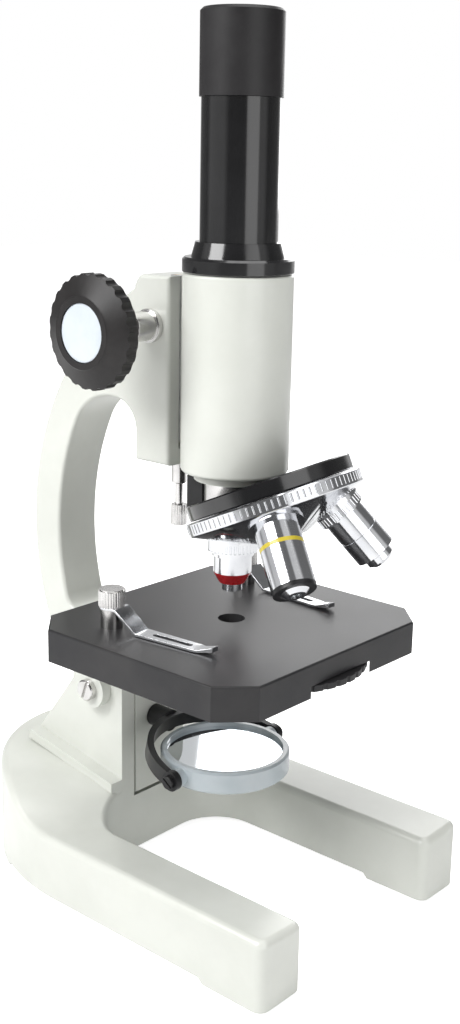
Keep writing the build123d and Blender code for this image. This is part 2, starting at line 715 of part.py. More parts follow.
# Pinion cut on the focus shaft, involute flanks thinned for backlash
pitch_radius = gear_module * pinion_teeth / 2
base_radius = pitch_radius * cos(radians(pressure_angle))
involute_at_pitch = tan(radians(pressure_angle)) - radians(pressure_angle)
half_tooth_angle = pi / 2 / pinion_teeth - backlash / 4 / pitch_radius
flank = []
for share in (0, 0.25, 0.5, 0.75, 1):
    radius = base_radius + share * (pitch_radius + tooth_addendum - base_radius)
    roll = acos(base_radius / radius)
    angle = half_tooth_angle + involute_at_pitch - (tan(roll) - roll)
    flank.append((radius * cos(angle), radius * sin(angle)))
root_radius = pitch_radius - tooth_dedendum
root_angle = half_tooth_angle + involute_at_pitch
flank.insert(0, ((root_radius - 0.2) * cos(root_angle), (root_radius - 0.2) * sin(root_angle)))
tooth = flank + [(x, -y) for x, y in reversed(flank)]
shaft_half = knob_inner_x + knob_width - 2.5
with BuildPart() as pinion_shaft:
    with BuildSketch(Plane.YZ.offset(-pinion_face / 2)):
        with Locations((pinion_y, pinion_z)):
            Circle(root_radius)
            with PolarLocations(0, pinion_teeth):
                Polygon(*tooth, align=None)
    extrude(amount=pinion_face)
    with BuildSketch(Plane.YZ.offset(-shaft_half)):
        with Locations((pinion_y, pinion_z)):
            Circle(shaft_radius)
    extrude(amount=2 * shaft_half)
pinion_shaft.part.label = "pinion_shaft"
export_step(pinion_shaft.part, "parts/pinion_shaft.step")

# Shaft bushes pressed into the sides of the arm
pinion_plane = Plane.XZ.offset(-pinion_y)
pinion_axis = Axis((0, pinion_y, pinion_z), (1, 0, 0))
sleeve_end = pinion_face / 2 + 0.4
nose_end = arm_half + 2.2 + bush_nose + 5.8
with BuildPart() as right_shaft_bush:
    with BuildSketch(pinion_plane):
        with BuildLine():
            Polyline(*[(x, pinion_z + r) for x, r in (
                (sleeve_end, shaft_radius + running), (sleeve_end, bush_radius - fit),
                (arm_half, bush_radius - fit), (arm_half, bush_flange_radius),
                (arm_half + 2.2, bush_flange_radius), (arm_half + 2.2, bush_radius),
                (arm_half + bush_nose, bush_radius), (arm_half + bush_nose, bush_radius - 1.25),
                (nose_end, bush_radius - 1.25), (nose_end, shaft_radius + running))], close=True)
        make_face()
    revolve(axis=pinion_axis)
right_shaft_bush.part.label = "right_shaft_bush"
export_step(right_shaft_bush.part, "parts/right_shaft_bush.step")

with BuildPart() as left_shaft_bush:
    mirror(right_shaft_bush.part, about=Plane.YZ)
left_shaft_bush.part.label = "left_shaft_bush"
export_step(left_shaft_bush.part, "parts/left_shaft_bush.step")

# Scalloped focus knobs with a hub behind and a pale inlay in the face
hub_start_x = nose_end + body_gap
hub_radius = 7.0
knob_face_x = knob_inner_x + knob_width
set_screw_x = (hub_start_x + knob_inner_x) / 2
with BuildPart() as right_knob:
    with BuildSketch(pinion_plane):
        with BuildLine():
            Polyline(*[(x, pinion_z + r) for x, r in (
                (hub_start_x, shaft_radius + fit), (hub_start_x, hub_radius), (knob_inner_x, hub_radius),
                (knob_inner_x, knob_radius - 2.4), (knob_inner_x + 1.8, knob_radius),
                (knob_inner_x + 6.0, knob_radius), (knob_face_x - 0.6, 13.6), (knob_face_x, 13.0),
                (knob_face_x, inlay_radius + fit), (knob_face_x - 2.0, inlay_radius + fit),
                (knob_face_x - 2.0, 0), (shaft_half + fit, 0), (shaft_half + fit, shaft_radius + fit))],
                close=True)
        make_face()
    revolve(axis=pinion_axis)
    with BuildSketch(Plane.YZ.offset(knob_inner_x)):
        with Locations((pinion_y, pinion_z)):
            with PolarLocations(knob_radius + 1.6, knob_lobes):
                Circle(2.4)
    extrude(amount=knob_width, mode=Mode.SUBTRACT)
    with BuildSketch(Plane.XY.offset(pinion_z)):
        with Locations((set_screw_x, pinion_y)):
            Circle(1.5 + fit)
    extrude(amount=hub_radius, mode=Mode.SUBTRACT)
right_knob.part.label = "right_knob"
export_step(right_knob.part, "parts/right_knob.step")

with BuildPart() as left_knob:
    mirror(right_knob.part, about=Plane.YZ)
left_knob.part.label = "left_knob"
export_step(left_knob.part, "parts/left_knob.step")

with BuildPart() as right_knob_inlay:
    with BuildSketch(Plane.YZ.offset(knob_face_x - 2.0)):
        with Locations((pinion_y, pinion_z)):
            Circle(inlay_radius)
    extrude(amount=2.0 - inlay_recess)
    fillet(right_knob_inlay.edges().group_by(Axis.X)[-1], 0.5)
right_knob_inlay.part.label = "right_knob_inlay"
export_step(right_knob_inlay.part, "parts/right_knob_inlay.step")

with BuildPart() as left_knob_inlay:
    mirror(right_knob_inlay.part, about=Plane.YZ)
left_knob_inlay.part.label = "left_knob_inlay"
export_step(left_knob_inlay.part, "parts/left_knob_inlay.step")

with BuildPart() as knob_set_screws:
    with BuildSketch(Plane.XY.offset(pinion_z + shaft_radius + fit)):
        with Locations((-set_screw_x, pinion_y), (set_screw_x, pinion_y)):
            Circle(1.5)
    extrude(amount=3.6)
knob_set_screws.part.label = "knob_set_screws"
export_step(knob_set_screws.part, "parts/knob_set_screws.step")

# Body tube, its flange collar and the eyepiece
with BuildPart() as tube_flange:
    with BuildSketch(optical_plane):
        with BuildLine():
            Polyline((tube_radius + fit, head_top_z), (flange_radius - 0.6, head_top_z),
                     (flange_radius, head_top_z + 0.6), (flange_radius, head_top_z + flange_height - 0.8),
                     (flange_radius - 0.8, head_top_z + flange_height),
                     (collar_low_radius, head_top_z + flange_height),
                     (collar_high_radius, head_top_z + flange_height + collar_height),
                     (tube_radius + fit, head_top_z + flange_height + collar_height), close=True)
        make_face()
    revolve(axis=optical_axis)
tube_flange.part.label = "tube_flange"
export_step(tube_flange.part, "parts/tube_flange.step")

tube_foot_z = head_top_z - tube_socket + 0.1
with BuildPart() as body_tube:
    with BuildSketch(Plane.XY.offset(tube_foot_z)):
        with Locations((0, optical_y)):
            Circle(tube_radius)
            Circle(eyepiece_radius + running, mode=Mode.SUBTRACT)
    extrude(amount=tube_rim_z - tube_foot_z)
body_tube.part.label = "body_tube"
export_step(body_tube.part, "parts/body_tube.step")

barrel_top_z = tube_rim_z + 4
barrel_foot_z = barrel_top_z - barrel_length - 4
with BuildPart() as eyepiece_barrel:
    with BuildSketch(Plane.XY.offset(barrel_foot_z)):
        with Locations((0, optical_y)):
            Circle(eyepiece_radius)
            Circle(eyepiece_radius - 1.8, mode=Mode.SUBTRACT)
    extrude(amount=barrel_top_z - barrel_foot_z)
    with BuildSketch(Plane.XY.offset(barrel_foot_z + 1)):
        with Locations((0, optical_y)):
            Circle(eyepiece_radius - 1.0)
    extrude(amount=barrel_top_z - barrel_foot_z, mode=Mode.SUBTRACT)
eyepiece_barrel.part.label = "eyepiece_barrel"
export_step(eyepiece_barrel.part, "parts/eyepiece_barrel.step")

cap_top_z = tube_rim_z + cap_height
eye_lens_z = cap_top_z - 9
with BuildPart() as eyepiece_cap:
    with BuildSketch(optical_plane):
        with BuildLine():
            Polyline((eyepiece_radius + fit, tube_rim_z), (cap_radius, tube_rim_z),
                     (cap_radius, cap_top_z - 1.0), (cap_radius - 1.0, cap_top_z),
                     (cap_radius - 2.2, cap_top_z), (cap_radius - 3.0, cap_top_z - 0.6),
                     (5.0, cap_top_z - 3.4), (5.0, eye_lens_z + 3), (8.0 + fit, eye_lens_z + 3),
                     (8.0 + fit, eye_lens_z - 1), (9.5, eye_lens_z - 1), (9.5, barrel_top_z),
                     (eyepiece_radius + fit, barrel_top_z), close=True)
        make_face()
    revolve(axis=optical_axis)
eyepiece_cap.part.label = "eyepiece_cap"
export_step(eyepiece_cap.part, "parts/eyepiece_cap.step")

with BuildPart() as eye_lens:
    with BuildSketch(Plane.XY.offset(eye_lens_z)):
        with Locations((0, optical_y)):
            Circle(8.0)
    extrude(amount=2.9)
    with Locations((0, optical_y, eye_lens_z + 2.9 - 26)):
        Sphere(26, mode=Mode.INTERSECT)
eye_lens.part.label = "eye_lens"
export_step(eye_lens.part, "parts/eye_lens.step")

with BuildPart() as field_lens:
    with BuildSketch(Plane.XY.offset(barrel_foot_z + 1.0)):
        with Locations((0, optical_y)):
            Circle(eyepiece_radius - 1.0 - fit)
    extrude(amount=3.2)
    with Locations((0, optical_y, barrel_foot_z + 4.2 - 40)):
        Sphere(40, mode=Mode.INTERSECT)
field_lens.part.label = "field_lens"
export_step(field_lens.part, "parts/field_lens.step")

with BuildPart() as field_stop:
    with BuildSketch(Plane.XY.offset(barrel_foot_z + 20)):
        with Locations((0, optical_y)):
            Circle(eyepiece_radius - 1.0 - fit)
            Circle(7.5, mode=Mode.SUBTRACT)
    extrude(amount=1.5)
field_stop.part.label = "field_stop"
export_step(field_stop.part, "parts/field_stop.step")

# Nosepiece planes: the turret axis meets the working seat on the optical axis
lean = radians(turret_lean)
twist = radians(turret_twist)
forward = Vector(sin(twist), -cos(twist), 0)
upright = Vector(0, 0, 1)
turret_axis = upright * cos(lean) - forward * sin(lean)
to_working_seat = -forward * cos(lean) - upright * sin(lean)
working_seat = Vector(0, optical_y, seat_z)
turret_plane = Plane(origin=working_seat - to_working_seat * seat_circle,
                     x_dir=to_working_seat, z_dir=turret_axis)
seat_planes = []
for station in (0, 120, -120):
    turn = radians(station)
    outward = to_working_seat * cos(turn) + turret_plane.y_dir * sin(turn)
    along_circle = turret_plane.y_dir * cos(turn) - to_working_seat * sin(turn)
    pointing = outward * sin(lean) - turret_axis * cos(lean)
    seat_planes.append(Plane(origin=turret_plane.origin + outward * seat_circle,
                             x_dir=along_circle, z_dir=pointing))

cone_slope = tan(lean)
hub_bottom = (8.5 - seat_circle) * cone_slope
wall_rise = turret_wall / cos(lean)
turret_section = Plane(origin=turret_plane.origin, x_dir=turret_plane.x_dir, z_dir=-turret_plane.y_dir)
with BuildPart() as turret:
    with BuildSketch(turret_section):
        with BuildLine():
            Polyline((pivot_radius + running, hub_bottom), (8.5, hub_bottom),
                     (turret_radius - 0.4, (turret_radius - 0.4 - seat_circle) * cone_slope),
                     (turret_radius, (turret_radius - seat_circle) * cone_slope + 0.3),
                     (turret_radius, turret_top - 0.5), (turret_radius - 0.5, turret_top),
                     (turret_radius - 3.5, turret_top),
                     (turret_radius - 3.5, min(turret_top - 0.5, 7 * cone_slope + wall_rise)),
                     (10, (10 - seat_circle) * cone_slope + wall_rise), (9, turret_top),
                     (pivot_radius + running, turret_top), close=True)
        make_face()
    revolve(axis=Axis(turret_plane.origin, turret_axis))
    for seat in seat_planes:
        with BuildSketch(seat.offset(-1)):
            Circle(seat_boss_radius)
        extrude(amount=1 + seat_boss)
    for seat in seat_planes:
        with BuildSketch(seat.offset(seat_boss)):
            Circle(thread_radius + fit)
        extrude(amount=-11, mode=Mode.SUBTRACT)
    # Fine grip flutes on the rim
    with BuildSketch(turret_plane.offset(turret_top - 4.0)):
        with PolarLocations(turret_radius + 0.15, 90):
            Circle(0.45)
    extrude(amount=3.2, mode=Mode.SUBTRACT)
turret.part.label = "turret"
export_step(turret.part, "parts/turret.step")

plate_low = turret_top + plate_gap
with BuildPart() as nosepiece_plate:
    with BuildSketch(turret_plane.offset(plate_low)):
        Circle(plate_radius)
    extrude(amount=plate_height)
    chamfer(nosepiece_plate.edges(), 0.5)
    # Flat seats that clear the head casting above
    with BuildSketch(Plane.XY.offset(head_bottom_z - spout_height)):
        with Locations((0, optical_y)):
            Circle(spout_radius + 0.2)
    extrude(amount=20, mode=Mode.SUBTRACT)
    with BuildSketch(Plane.XY.offset(head_bottom_z)):
        with Locations((0, optical_y)):
            Circle(head_radius + 0.5)
    extrude(amount=20, mode=Mode.SUBTRACT)
    with BuildSketch(Plane.XY.offset(seat_z)):
        with Locations((0, optical_y)):
            Circle(light_bore)
    extrude(amount=30, mode=Mode.SUBTRACT)
    with BuildSketch(turret_plane.offset(plate_low)):
        Circle(pivot_radius + fit)
    extrude(amount=pivot_bite + 0.3, mode=Mode.SUBTRACT)
nosepiece_plate.part.label = "nosepiece_plate"
export_step(nosepiece_plate.part, "parts/nosepiece_plate.step")

plate_top = turret_plane.offset(plate_low + plate_height)
with BuildPart() as nosepiece_mount:
    with BuildSketch(Plane.XY.offset(seat_z)):
        with Locations((0, optical_y)):
            Circle(neck_radius)
            Circle(light_bore, mode=Mode.SUBTRACT)
    extrude(amount=head_bottom_z + 7.8 - seat_z)
    split(bisect_by=plate_top, keep=Keep.TOP)
nosepiece_mount.part.label = "nosepiece_mount"
export_step(nosepiece_mount.part, "parts/nosepiece_mount.step")

with BuildPart() as click_spring:
    with BuildSketch(Plane.XY.offset(seat_z)):
        with Locations((0, optical_y + 17)):
            Rectangle(16, 8.4, align=(Align.CENTER, Align.MAX))
        with Locations((0, optical_y)):
            Circle(neck_radius + 0.1, mode=Mode.SUBTRACT)
    extrude(amount=head_bottom_z - spout_height - 0.3 - seat_z)
    split(bisect_by=plate_top, keep=Keep.TOP)
    fillet(click_spring.edges().filter_by(Axis.Z).group_by(Axis.Y)[-1], 1.0)
click_spring.part.label = "click_spring"
export_step(click_spring.part, "parts/click_spring.step")

with BuildPart() as turret_pivot_screw:
    with BuildSketch(turret_plane.offset(hub_bottom - running)):
        Circle(pivot_radius)
    extrude(amount=plate_low + pivot_bite - hub_bottom)
    with BuildSketch(turret_plane.offset(hub_bottom - running - 2.4)):
        Circle(4.5)
    extrude(amount=2.4)
    with BuildSketch(turret_plane.offset(hub_bottom - running - 2.4)):
        Rectangle(10, 1.1)
    extrude(amount=1.0, mode=Mode.SUBTRACT)
turret_pivot_screw.part.label = "turret_pivot_screw"
export_step(turret_pivot_screw.part, "parts/turret_pivot_screw.step")

# Objectives, turned about the line from their seat
collar_flutes = 36
low_plane, mid_plane, high_plane = [Plane(origin=seat.origin, x_dir=seat.x_dir, z_dir=-seat.y_dir)
                                    for seat in seat_planes]
low_axis, mid_axis, high_axis = [Axis(seat.origin, seat.z_dir) for seat in seat_planes]
low_seat, mid_seat, high_seat = seat_planes
thread_end = seat_boss - thread_length

with BuildPart() as objective_4x:
    with BuildSketch(low_plane):
        with BuildLine():
            Polyline((5.0, thread_end), (thread_radius, thread_end), (thread_radius, seat_boss),
                     (9.6, seat_boss), (9.6, 5.1), (8.0, 5.5), (8.0, 6.9), (7.25, 6.9), (7.25, 13.4),
                     (3.8, 13.4), (3.8, 20.7), (2.6, 20.7), (2.6, 19.7), (3.2, 19.7), (3.2, 12.6),
                     (5.0, 10.0), close=True)
        make_face()
    revolve(axis=low_axis)
    with BuildSketch(low_seat.offset(seat_boss + 0.5)):
        with PolarLocations(9.75, collar_flutes):
            Circle(0.4)
    extrude(amount=5.1 - seat_boss - 1.0, mode=Mode.SUBTRACT)
objective_4x.part.label = "objective_4x"
export_step(objective_4x.part, "parts/objective_4x.step")

with BuildPart() as objective_4x_band:
    with BuildSketch(low_plane):
        with BuildLine():
            Polyline((3.8 + fit, 13.4), (7.25, 13.4), (6.9, 14.4), (5.0, 17.7), (3.8 + fit, 17.7), close=True)
        make_face()
    revolve(axis=low_axis)
objective_4x_band.part.label = "objective_4x_band"
export_step(objective_4x_band.part, "parts/objective_4x_band.step")

with BuildPart() as objective_4x_lens:
    with BuildSketch(low_seat.offset(17.6)):
        Circle(3.2 - fit)
    extrude(amount=2.1)
objective_4x_lens.part.label = "objective_4x_lens"
export_step(objective_4x_lens.part, "parts/objective_4x_lens.step")

with BuildPart() as objective_10x:
    with BuildSketch(mid_plane):
        with BuildLine():
            Polyline((5.0, thread_end), (thread_radius, thread_end), (thread_radius, seat_boss),
                     (8.0, seat_boss), (8.0, 8.3), (7.4, 8.3), (7.4, 9.8), (8.0, 9.8), (8.0, 24.5),
                     (5.2, 24.5), (5.2, 26.0), (3.6, 27.5), (1.9, 27.5), (1.9, 26.9), (2.6, 26.9), (2.6, 22.0),
                     (5.0, 18.0), close=True)
        make_face()
    revolve(axis=mid_axis)
objective_10x.part.label = "objective_10x"
export_step(objective_10x.part, "parts/objective_10x.step")

with BuildPart() as objective_10x_band:
    with BuildSketch(mid_seat.offset(8.3)):
        Circle(8.0 + fit)
        Circle(7.4 + fit, mode=Mode.SUBTRACT)
    extrude(amount=1.5)
objective_10x_band.part.label = "objective_10x_band"
export_step(objective_10x_band.part, "parts/objective_10x_band.step")

with BuildPart() as objective_10x_ring:
    with BuildSketch(mid_seat.offset(24.5)):
        Circle(7.8)
        Circle(5.2 + fit, mode=Mode.SUBTRACT)
    extrude(amount=1.5)
    chamfer(objective_10x_ring.edges().sort_by_distance(mid_seat.offset(26).origin)[:2], 0.3)
objective_10x_ring.part.label = "objective_10x_ring"
export_step(objective_10x_ring.part, "parts/objective_10x_ring.step")

with BuildPart() as objective_10x_lens:
    with BuildSketch(mid_seat.offset(25.0)):
        Circle(2.6 - fit)
    extrude(amount=1.9)
objective_10x_lens.part.label = "objective_10x_lens"
export_step(objective_10x_lens.part, "parts/objective_10x_lens.step")

with BuildPart() as objective_40x:
    with BuildSketch(high_plane):
        with BuildLine():
            Polyline((5.0, thread_end), (thread_radius, thread_end), (thread_radius, seat_boss),
                     (9.4, seat_boss), (9.4, 5.0), (8.0, 5.4), (8.0, 13.9), (7.7, 14.0), (7.7, 14.8),
                     (8.0, 14.9), (8.0, 24.5), (5.5, 25.6), (5.5, 27.8), (4.2, 29.0), (1.2, 29.0),
                     (1.2, 28.5), (2.0, 28.5), (2.0, 24.0), (5.0, 19.0), close=True)
        make_face()
    revolve(axis=high_axis)
    with BuildSketch(high_seat.offset(seat_boss + 0.5)):
        with PolarLocations(9.55, collar_flutes):
            Circle(0.4)
    extrude(amount=5.0 - seat_boss - 1.0, mode=Mode.SUBTRACT)
objective_40x.part.label = "objective_40x"
export_step(objective_40x.part, "parts/objective_40x.step")

with BuildPart() as objective_40x_lens:
    with BuildSketch(high_seat.offset(26.8)):
        Circle(2.0 - fit)
    extrude(amount=1.7)
objective_40x_lens.part.label = "objective_40x_lens"
export_step(objective_40x_lens.part, "parts/objective_40x_lens.step")

# Substage mirror in its fork
mirror_plane = Plane.XZ.offset(-mirror_y)
mirror_axis = Axis((0, mirror_y, 0), (0, 0, 1))
web_half = mirror_web / 2
ring_half = mirror_ring_height / 2
trunnion_end = fork_radius - fork_thickness / 2 - body_gap
with BuildPart() as mirror_ring:
    with BuildSketch(mirror_plane):
        with BuildLine():
            Polyline(*[(r, mirror_z + z) for r, z in (
                (mirror_ledge, -web_half), (mirror_glass_radius + fit, -web_half),
                (mirror_glass_radius + fit, -ring_half), (mirror_ring_radius - 0.8, -ring_half),
                (mirror_ring_radius, -ring_half + 0.8), (mirror_ring_radius, ring_half - 0.8),
                (mirror_ring_radius - 0.8, ring_half), (mirror_glass_radius + fit, ring_half),
                (mirror_glass_radius + fit, web_half), (mirror_ledge, web_half))], close=True)
        make_face()
    revolve(axis=mirror_axis)
    with BuildSketch(Plane.YZ.offset(-trunnion_end), Plane.YZ.offset(mirror_ring_radius - 0.5)):
        with Locations((mirror_y, mirror_z)):
            Circle(trunnion_radius)
    extrude(amount=trunnion_end - mirror_ring_radius + 0.5)
    with BuildSketch(Plane.YZ.offset(-trunnion_end), Plane.YZ.offset(trunnion_end - pivot_screw_bite - 1.4)):
        with Locations((mirror_y, mirror_z)):
            Circle(pivot_screw_radius + running)
    extrude(amount=pivot_screw_bite + 1.4, mode=Mode.SUBTRACT)
mirror_ring.part.label = "mirror_ring"
export_step(mirror_ring.part, "parts/mirror_ring.step")

with BuildPart() as plane_mirror:
    with BuildSketch(Plane.XY.offset(mirror_z + web_half)):
        with Locations((0, mirror_y)):
            Circle(mirror_glass_radius)
    extrude(amount=mirror_glass_thickness)
plane_mirror.part.label = "plane_mirror"
export_step(plane_mirror.part, "parts/plane_mirror.step")

concave_face_z = mirror_z - web_half - mirror_glass_thickness
concave_rim = mirror_glass_radius - 0.8
concave_radius = (concave_rim ** 2 + concave_sagitta ** 2) / (2 * concave_sagitta)
with BuildPart() as concave_mirror:
    with BuildSketch(Plane.XY.offset(concave_face_z)):
        with Locations((0, mirror_y)):
            Circle(mirror_glass_radius)
    extrude(amount=mirror_glass_thickness)
    with Locations((0, mirror_y, concave_face_z + concave_sagitta - concave_radius)):
        Sphere(concave_radius, mode=Mode.SUBTRACT)
concave_mirror.part.label = "concave_mirror"
export_step(concave_mirror.part, "parts/concave_mirror.step")

fork_plane = Plane(origin=(0, mirror_y, mirror_z), x_dir=(1, 0, 0),
                   z_dir=(0, -sin(radians(fork_rise)), cos(radians(fork_rise))))
fork_outer = fork_radius + fork_thickness / 2
fork_rear_y = mirror_y + fork_radius * cos(radians(fork_rise))
with BuildPart() as mirror_fork:
    with BuildSketch(fork_plane.offset(-fork_width / 2)):
        Circle(fork_outer)
        Circle(fork_radius - fork_thickness / 2, mode=Mode.SUBTRACT)
        Rectangle(3 * fork_radius, 2 * fork_radius, align=(Align.CENTER, Align.MIN), mode=Mode.INTERSECT)
    extrude(amount=fork_width)
    with BuildSketch(Plane.YZ.offset(-fork_outer), Plane.YZ.offset(fork_outer - fork_thickness)):
        with Locations((mirror_y, mirror_z)):
            Circle(fork_boss_radius)
    extrude(amount=fork_thickness)
    with BuildSketch(Plane.XZ.offset(-fork_rear_y)):
        with Locations((0, fork_z)):
            Circle(fork_hub_radius)
    extrude(amount=fork_rear_y - tail_front_y + body_gap)
    with BuildSketch(Plane.XZ.offset(-fork_rear_y)):
        with Locations((0, fork_z)):
            Circle(fork_pin_radius + fit)
    extrude(amount=fork_rear_y - tail_front_y, mode=Mode.SUBTRACT)
    with BuildSketch(Plane.YZ):
        with Locations((mirror_y, mirror_z)):
            Circle(pivot_screw_radius + fit)
    extrude(amount=2 * fork_radius, both=True, mode=Mode.SUBTRACT)
mirror_fork.part.label = "mirror_fork"
export_step(mirror_fork.part, "parts/mirror_fork.step")

with BuildPart() as fork_pin:
    with BuildSketch(Plane.XZ.offset(-fork_rear_y)):
        with Locations((0, fork_z)):
            Circle(fork_pin_radius)
    extrude(amount=fork_rear_y - tail_front_y - fork_pin_depth)
fork_pin.part.label = "fork_pin"
export_step(fork_pin.part, "parts/fork_pin.step")

screw_tip_x = trunnion_end - pivot_screw_bite - 1.1
with BuildPart() as mirror_pivot_screws:
    with BuildSketch(Plane.YZ.offset(screw_tip_x)):
        with Locations((mirror_y, mirror_z)):
            Circle(pivot_screw_radius)
    extrude(amount=fork_outer - screw_tip_x)
    with BuildSketch(Plane.YZ.offset(fork_outer)):
        with Locations((mirror_y, mirror_z)):
            Circle(2.6)
    extrude(amount=1.7)
    with BuildSketch(Plane.YZ.offset(fork_outer + 0.9)):
        with Locations((mirror_y, mirror_z)):
            Rectangle(6, 0.8, rotation=35)
    extrude(amount=0.8, mode=Mode.SUBTRACT)
    mirror(about=Plane.YZ)
mirror_pivot_screws.part.label = "mirror_pivot_screws"
export_step(mirror_pivot_screws.part, "parts/mirror_pivot_screws.step")
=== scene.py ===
import bmesh
import bpy
import json
import math
from mathutils import Matrix, Vector


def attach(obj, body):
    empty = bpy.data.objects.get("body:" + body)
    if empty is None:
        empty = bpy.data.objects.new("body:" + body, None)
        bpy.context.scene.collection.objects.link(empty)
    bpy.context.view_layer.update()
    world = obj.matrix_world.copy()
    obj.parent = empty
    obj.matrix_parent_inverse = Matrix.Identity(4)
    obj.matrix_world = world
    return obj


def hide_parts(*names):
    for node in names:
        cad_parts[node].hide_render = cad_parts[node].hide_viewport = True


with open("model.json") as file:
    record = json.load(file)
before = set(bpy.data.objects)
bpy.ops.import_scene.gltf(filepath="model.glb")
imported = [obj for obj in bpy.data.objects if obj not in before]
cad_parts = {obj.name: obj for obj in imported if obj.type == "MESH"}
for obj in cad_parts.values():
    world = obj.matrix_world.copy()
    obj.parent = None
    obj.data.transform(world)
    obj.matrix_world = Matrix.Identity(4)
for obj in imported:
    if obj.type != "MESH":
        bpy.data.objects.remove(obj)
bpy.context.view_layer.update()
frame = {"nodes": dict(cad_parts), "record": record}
print("frame loaded:", len(frame["nodes"]), "nodes")

# Camera and light: places in metres, angles in degrees, lens and sensor in mm, power in watts
camera = {
    "place": (-0.36913, -0.33963, 0.28193),
    "yaw": -48.96, "pitch": 14.74, "roll": 1.07,
    "lens": 47.416, "sensor": 36, "near": 0.01,
}


def makeCamera(look):
    data = bpy.data.cameras.new("photoCamera")
    data.lens = look["lens"]
    data.sensor_width = look["sensor"]
    data.clip_start = look["near"]
    obj = bpy.data.objects.new("photoCamera", data)
    yaw, pitch = math.radians(look["yaw"]), math.radians(look["pitch"])
    back = Vector((math.sin(yaw) * math.cos(pitch), -math.cos(yaw) * math.cos(pitch), math.sin(pitch)))
    right = Vector((math.cos(yaw), math.sin(yaw), 0))
    up = back.cross(right)
    roll = math.radians(look["roll"])
    rolledRight = right * math.cos(roll) + up * math.sin(roll)
    rolledUp = up * math.cos(roll) - right * math.sin(roll)
    turn = Matrix((rolledRight, rolledUp, back)).transposed().to_4x4()
    obj.matrix_world = Matrix.Translation(look["place"]) @ turn
    bpy.context.scene.collection.objects.link(obj)
    bpy.context.scene.camera = obj


makeCamera(camera)
bpy.context.scene.view_settings.view_transform = "Standard"

lamps = {
    "keyFromLeft": {"place": (-0.95, 0.30, 0.95), "aim": (0, 0, 0.14), "size": 0.75, "power": 15},
    "fillFromFront": {"place": (-0.30, -1.30, 0.45), "aim": (0, 0, 0.15), "size": 0.9, "power": 3.5},
    "softTop": {"place": (0.15, -0.10, 1.35), "aim": (0, 0, 0.1), "size": 0.9, "power": 6},
    "rimFromRight": {"place": (1.0, 0.45, 0.55), "aim": (0, 0, 0.15), "size": 0.7, "power": 3.5},
}


def makeLamps(settings):
    for name, look in settings.items():
        data = bpy.data.lights.new(name, "AREA")
        data.shape = "SQUARE"
        data.size = look["size"]
        data.energy = look["power"]
        obj = bpy.data.objects.new(name, data)
        direction = Vector(look["aim"]) - Vector(look["place"])
        obj.matrix_world = (Matrix.Translation(look["place"])
                            @ direction.to_track_quat("-Z", "Y").to_matrix().to_4x4())
        bpy.context.scene.collection.objects.link(obj)


makeLamps(lamps)

# Room that the pieces reflect, with its panels' soft edge as a height of the sine, and the
# plain white that the camera sees
surroundings = {"roomDark": 0.16, "roomBright": 0.62, "panels": 3, "panelEdge": 0.35, "white": 1.0}
white = (1, 1, 1, 1)


def makeWorld(look):
    world = bpy.data.worlds.new("studioRoom")
    bpy.context.scene.world = world
    world.use_nodes = True
    tree = world.node_tree
    tree.nodes.clear()
    out = tree.nodes.new("ShaderNodeOutputWorld")
    room = tree.nodes.new("ShaderNodeBackground")
    plain = tree.nodes.new("ShaderNodeBackground")
    mix = tree.nodes.new("ShaderNodeMixShader")
    path = tree.nodes.new("ShaderNodeLightPath")
    either = tree.nodes.new("ShaderNodeMath")
    either.operation = "MAXIMUM"
    room.inputs["Color"].default_value = white
    # Bright panels and dark gaps by turns round the room
    place = tree.nodes.new("ShaderNodeTexCoord")
    split = tree.nodes.new("ShaderNodeSeparateXYZ")
    angle = tree.nodes.new("ShaderNodeMath")
    angle.operation = "ARCTAN2"
    turns = tree.nodes.new("ShaderNodeMath")
    turns.operation = "MULTIPLY"
    turns.inputs[1].default_value = look["panels"]
    wave = tree.nodes.new("ShaderNodeMath")
    wave.operation = "SINE"
    level = tree.nodes.new("ShaderNodeMapRange")
    level.inputs["From Min"].default_value = -look["panelEdge"]
    level.inputs["From Max"].default_value = look["panelEdge"]
    level.inputs["To Min"].default_value = look["roomDark"]
    level.inputs["To Max"].default_value = look["roomBright"]
    tree.links.new(place.outputs["Generated"], split.inputs[0])
    tree.links.new(split.outputs["Y"], angle.inputs[0])
    tree.links.new(split.outputs["X"], angle.inputs[1])
    tree.links.new(angle.outputs[0], turns.inputs[0])
    tree.links.new(turns.outputs[0], wave.inputs[0])
    tree.links.new(wave.outputs[0], level.inputs["Value"])
    tree.links.new(level.outputs["Result"], room.inputs["Strength"])
    plain.inputs["Color"].default_value = white
    plain.inputs["Strength"].default_value = look["white"]
    tree.links.new(path.outputs["Is Camera Ray"], either.inputs[0])
    tree.links.new(path.outputs["Is Transmission Ray"], either.inputs[1])
    tree.links.new(either.outputs[0], mix.inputs["Fac"])
    tree.links.new(room.outputs[0], mix.inputs[1])
    tree.links.new(plain.outputs[0], mix.inputs[2])
    tree.links.new(mix.outputs[0], out.inputs["Surface"])


makeWorld(surroundings)

# Staged floor, which glows for the camera alone so that it meets the white behind it
floor = {"half": 3.0, "colour": (0.93, 0.93, 0.93), "glow": 0.80}


